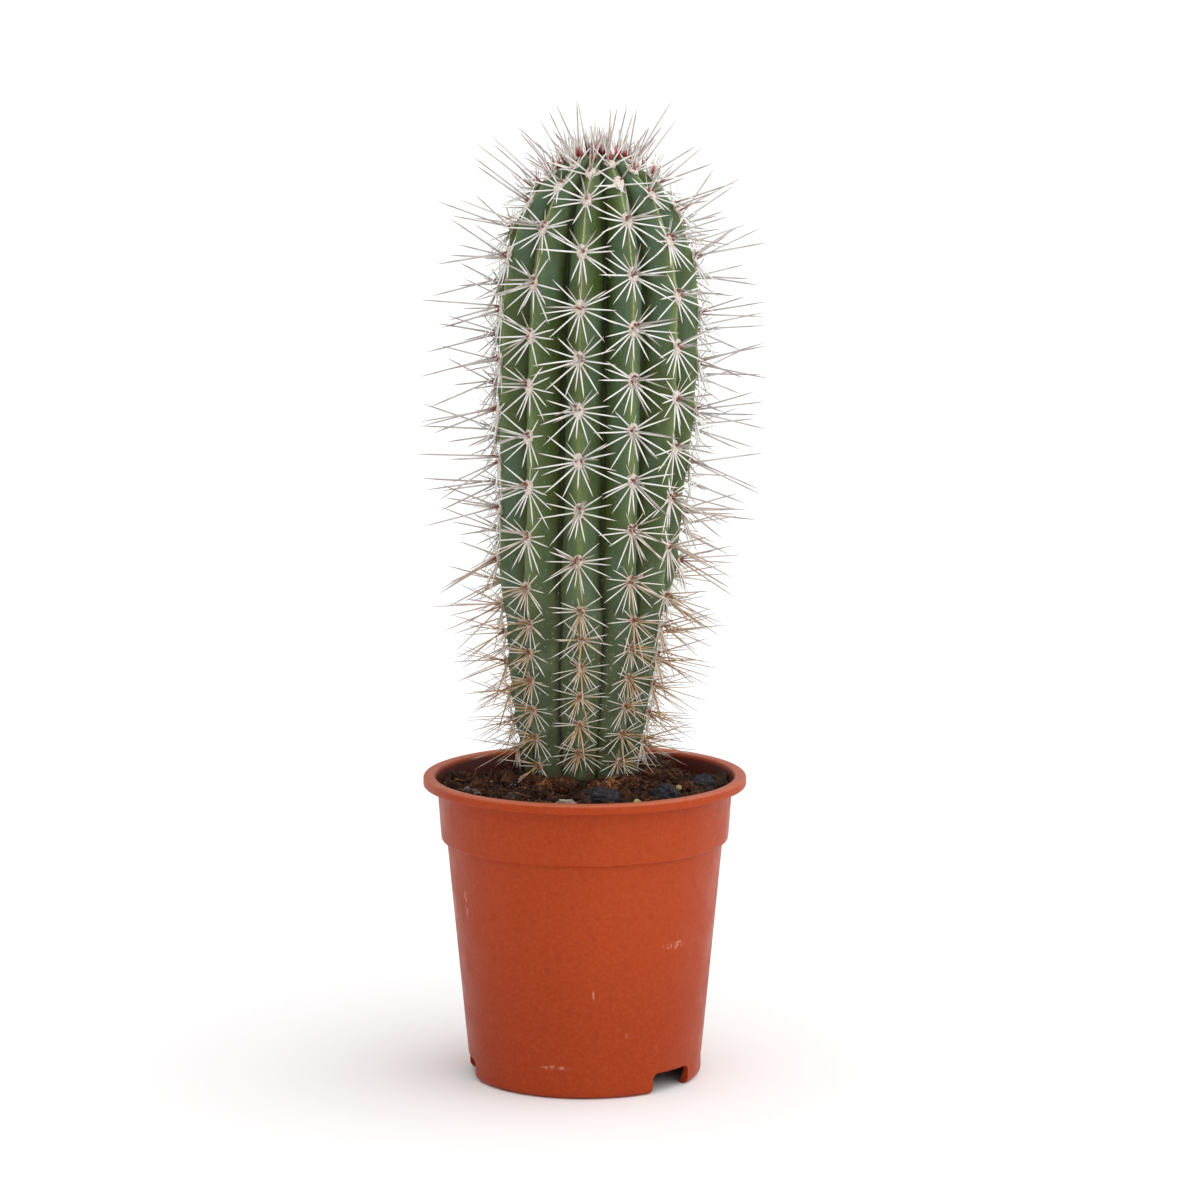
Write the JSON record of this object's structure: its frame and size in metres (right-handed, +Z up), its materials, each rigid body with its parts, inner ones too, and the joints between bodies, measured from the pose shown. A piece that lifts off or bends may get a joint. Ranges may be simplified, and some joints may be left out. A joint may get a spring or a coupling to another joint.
{
  "type": "potted tall cactus",
  "caption": "Tall ribbed column cactus with long spines, standing in soil in a round tapered plastic nursery pot with a collar and an overhanging rim.",
  "frame": {"origin": "on the ground plane, on the axis of the round pot", "axes": "+Z up along the pot's axis, +X to the right and -Y towards the viewer of the front"},
  "size_m": [0.175, 0.1752, 0.5127],
  "materials": {
    "terracotta_plastic": "terracotta-coloured moulded plastic, satin, slightly scuffed",
    "peat": "dark brown fibrous peat, rough and matte",
    "cactus_skin": "waxy green skin with a pale bloom, lighter along the ribs",
    "spine": "horny spines, whitish to grey-brown with reddish feet, satin",
    "areole_felt": "cream felt with pink-brown flecks, matte",
    "dark_clod": "nearly black crumbly bark clod, matte",
    "wood_flake": "weathered pale wood, dry and fibrous",
    "brown_fibre": "dry brown plant fibre, matte",
    "pale_grit": "pale yellow grit, matte"
  },
  "bodies": {
    "root": {"pot": "terracotta_plastic", "soil": "peat", "cactus": "cactus_skin", "clod_front": "dark_clod", "clod_right_front": "dark_clod", "clod_right": "dark_clod", "clod_left_front": "dark_clod", "clod_back_left": "dark_clod", "clod_back_right": "dark_clod", "wood_flake_front": "wood_flake", "bark_flake_left": "wood_flake", "bark_flake_back": "wood_flake", "fibre_tuft_left": "brown_fibre", "fibre_tuft_right": "brown_fibre", "grit_grain_front": "pale_grit", "grit_grain_right": "pale_grit", "grit_grain_left": "pale_grit"}
  },
  "joints": []
}
